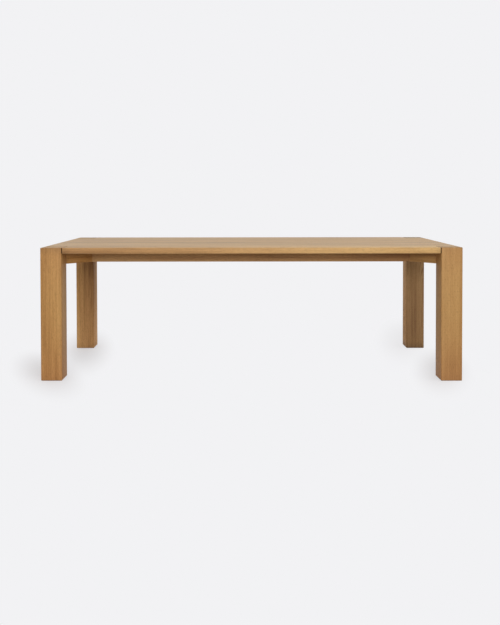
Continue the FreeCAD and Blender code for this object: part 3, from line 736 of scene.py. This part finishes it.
def shape_board(node, low, high):
    """A board: rounded where it is exposed, left square at its glue lines and in notches."""
    board = add_box(f"{node}_plank", low, high)
    around = Vector((LEG_SEAM, LEG_SEAM, LEG_SEAM))
    inside_corners = []
    for leg in posts_beside(node):
        leg_low, leg_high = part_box(leg)
        notch = (Vector((*leg_low.xy, low.z)) - around, Vector((*leg_high.xy, high.z)) + around)
        carve(board, add_box("notch", *notch))
        inside_corners.append([min((corner[axis] for corner in notch), key=abs)
                               for axis in (0, 1)])
    glued = glue_lines(low, high)

    def exposed(a, b):
        if any(near(a.y, y) and near(b.y, y) for y in glued):
            return False
        if not near(a.z, b.z):
            return not any(near(a.x, x) and near(a.y, y) for x, y in inside_corners)
        return bool(inside_corners) or near(a.x, b.x)

    soften(board, exposed, BOARD_EDGE, EDGE_STEPS)
    return board


def make_boards():
    """The boards of the top, which wear as one where they meet the air."""
    table_low, table_high = cad_box
    shoulder = abs(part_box("leg_front_left")[1].x) - LEG_SEAM
    for node, timber in BOARD_TIMBER.items():
        low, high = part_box(node)
        worn = (Vector((low.x, table_low.y, low.z)), Vector((high.x, table_high.y, high.z)))
        seams = [seam_round(leg, node) for leg in posts_beside(node)]
        board = shape_board(node, low, high)
        dress(board, node, wood(node, timber, (low, high), worn, glue_lines(low, high), seams,
                                half_length=shoulder))


# ---------------------------------------------------------- CAD pieces that are kept
def give(node, material):
    """Put a finish on a CAD piece."""
    nodes[node].data.materials.clear()
    nodes[node].data.materials.append(material)


def finish_frame():
    """Rails, blocks, dowels and hardware keep their CAD shape and get their finish here."""
    for node, timber in FRAME_TIMBER.items():
        give(node, wood(node, timber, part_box(node)))
    zinc = metal("zinc_steel", ZINC, ZINC_ROUGHNESS)
    for node in ("rail_bolts", "barrel_nuts", "corner_block_screws", "clip_screws",
                 "glide_screws"):
        give(node, zinc)
    give("top_clips", metal("clip_steel", CLIP_STEEL, CLIP_ROUGHNESS))
    give("foot_glides", nylon("glide_nylon"))


# ------------------------------------------------------------ camera, lights and floor
# the view's size, the lens and the point that the camera's axis goes through, in pixels,
# then the camera's place in metres and its turns in radians
VIEW_WIDTH = 500
VIEW_HEIGHT = 625
FOCAL_LENGTH = 723.32
AXIS_ACROSS = 239.86
AXIS_DOWN = 209.74
CAMERA_PLACE = (-0.0376, -4.6018, 1.0633)
CAMERA_DIP = 0.02094
CAMERA_YAW = 0.00621
CAMERA_ROLL = 0.00159
SENSOR = 36.0

# the strength of the light from all round, then each lamp's place, the point that it
# lights, its width and height, and its power
DAYLIGHT = 0.62
SOFTBOXES = {
    "front": ((0.3, -6.5, 2.8), (0.0, 0.0, 0.6), (5.0, 2.8), 72),
    "low_front": ((-0.5, -6.4, 2.0), (0.0, 0.0, 0.5), (4.0, 0.9), 66),
    "right": ((4.6, -1.8, 1.8), (0.0, 0.0, 0.5), (2.4, 2.0), 22),
}

FLOOR_SIZE = 60
BACKGROUND = tone(242, 242, 244)
WHITE = (1.0, 1.0, 1.0, 1.0)
FLOOR_LIT = (0.83, 0.80, 0.80, 1.0)
FLOOR_BOUNCE = (0.3, 0.3, 0.3, 1.0)
# each post's soft shadow: how far right of it and behind it the shadow's middle is, how
# far it leans to the right per metre of depth, its half width and depth, and its strength
SHADOWS = {
    "leg_front_left": (-0.09, 0.15, -0.40, 0.24, 0.70, 0.51),
    "leg_front_right": (0.02, 0.23, 0.24, 0.205, 0.73, 0.44),
    "leg_rear_left": (0.0, -0.07, -0.18, 0.23, 0.90, 0.455),
    "leg_rear_right": (-0.01, 0.29, 0.20, 0.225, 1.00, 0.19),
}


def set_camera():
    """The camera stands a little left of the middle and a little above the top."""
    long_side = max(VIEW_WIDTH, VIEW_HEIGHT)
    data = bpy.data.cameras.new("camera")
    data.sensor_width = SENSOR
    data.lens = FOCAL_LENGTH / long_side * SENSOR
    data.shift_x = (VIEW_WIDTH / 2 - AXIS_ACROSS) / long_side
    data.shift_y = (AXIS_DOWN - VIEW_HEIGHT / 2) / long_side
    camera = bpy.data.objects.new("camera", data)
    camera.location = CAMERA_PLACE
    camera.rotation_mode = "XYZ"
    camera.rotation_euler = (math.pi / 2 - CAMERA_DIP, CAMERA_ROLL, CAMERA_YAW)
    bpy.context.scene.collection.objects.link(camera)
    bpy.context.scene.camera = camera


def plain_share(sheet):
    """1 for the rays that see the plain background: camera, gloss and glass."""
    camera, gloss, glass = (sheet.node("ShaderNodeLightPath", output=f"Is {ray} Ray")
                            for ray in ("Camera", "Glossy", "Transmission"))
    return (camera + gloss + glass).minimum(1.0)


def set_world():
    """Soft light from all round; the camera and gloss see the plain background."""
    world = bpy.data.worlds.new("studio")
    sheet = Sheet(world)
    soft = sheet.node("ShaderNodeBackground", None, {"Color": WHITE, "Strength": DAYLIGHT})
    plain = sheet.node("ShaderNodeBackground", None, {"Color": BACKGROUND})
    shown = sheet.node("ShaderNodeMixShader", None, {0: plain_share(sheet), 1: soft, 2: plain})
    sheet.node("ShaderNodeOutputWorld", None, {"Surface": shown})
    bpy.context.scene.world = world


def add_softbox(name, place, target, size, power):
    """A flat lamp that looks at a point."""
    data = bpy.data.lights.new(name, "AREA")
    data.shape = "RECTANGLE"
    data.size, data.size_y = size
    data.energy = power
    lamp = bpy.data.objects.new(name, data)
    lamp.location = place
    aim = Vector(target) - Vector(place)
    lamp.rotation_euler = aim.to_track_quat("-Z", "Y").to_euler()
    bpy.context.scene.collection.objects.link(lamp)


def floor_material():
    """Pale floor: it holds the shadows round the feet and is plain further off."""
    material, sheet = new_material("floor")
    x, y, _ = sheet.parts(sheet.node("ShaderNodeTexCoord", output="Object"))
    shade = 0.0
    for leg, (right, behind, lean, half_width, half_depth, strength) in SHADOWS.items():
        foot = sum(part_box(leg), Vector()) / 2
        off_y = y - (foot.y + behind)
        off_x = (x - (foot.x + right) - off_y * lean) / half_width
        off_y = off_y / half_depth
        away = (off_x * off_x + off_y * off_y).root()
        shade = (1 - away.step(0.0, 1.0)) * strength + shade
    lit = sheet.node("ShaderNodeBsdfDiffuse", None, {"Color": FLOOR_LIT})
    plain = sheet.node("ShaderNodeEmission", None, {"Color": BACKGROUND})
    shown = sheet.node("ShaderNodeMixShader", None, {0: shade, 1: plain, 2: lit})
    dull = sheet.node("ShaderNodeBsdfDiffuse", None, {"Color": FLOOR_BOUNCE})
    shader = sheet.node("ShaderNodeMixShader", None, {0: plain_share(sheet), 1: dull, 2: shown})
    sheet.node("ShaderNodeOutputMaterial", None, {"Surface": shader})
    return material


def add_floor():
    """The floor that the table stands on, as stage."""
    bpy.ops.object.select_all(action="DESELECT")
    bpy.ops.mesh.primitive_plane_add(size=FLOOR_SIZE, location=(0, 0, 0))
    floor = bpy.context.object
    floor.name = "floor"
    floor.data.materials.append(floor_material())


# --------------------------------------------------------------------------- assembly
set_camera()
set_world()
for name, lamp in SOFTBOXES.items():
    add_softbox(name, *lamp)
add_floor()
make_legs()
make_boards()
finish_frame()
bpy.context.scene.view_settings.view_transform = "Standard"
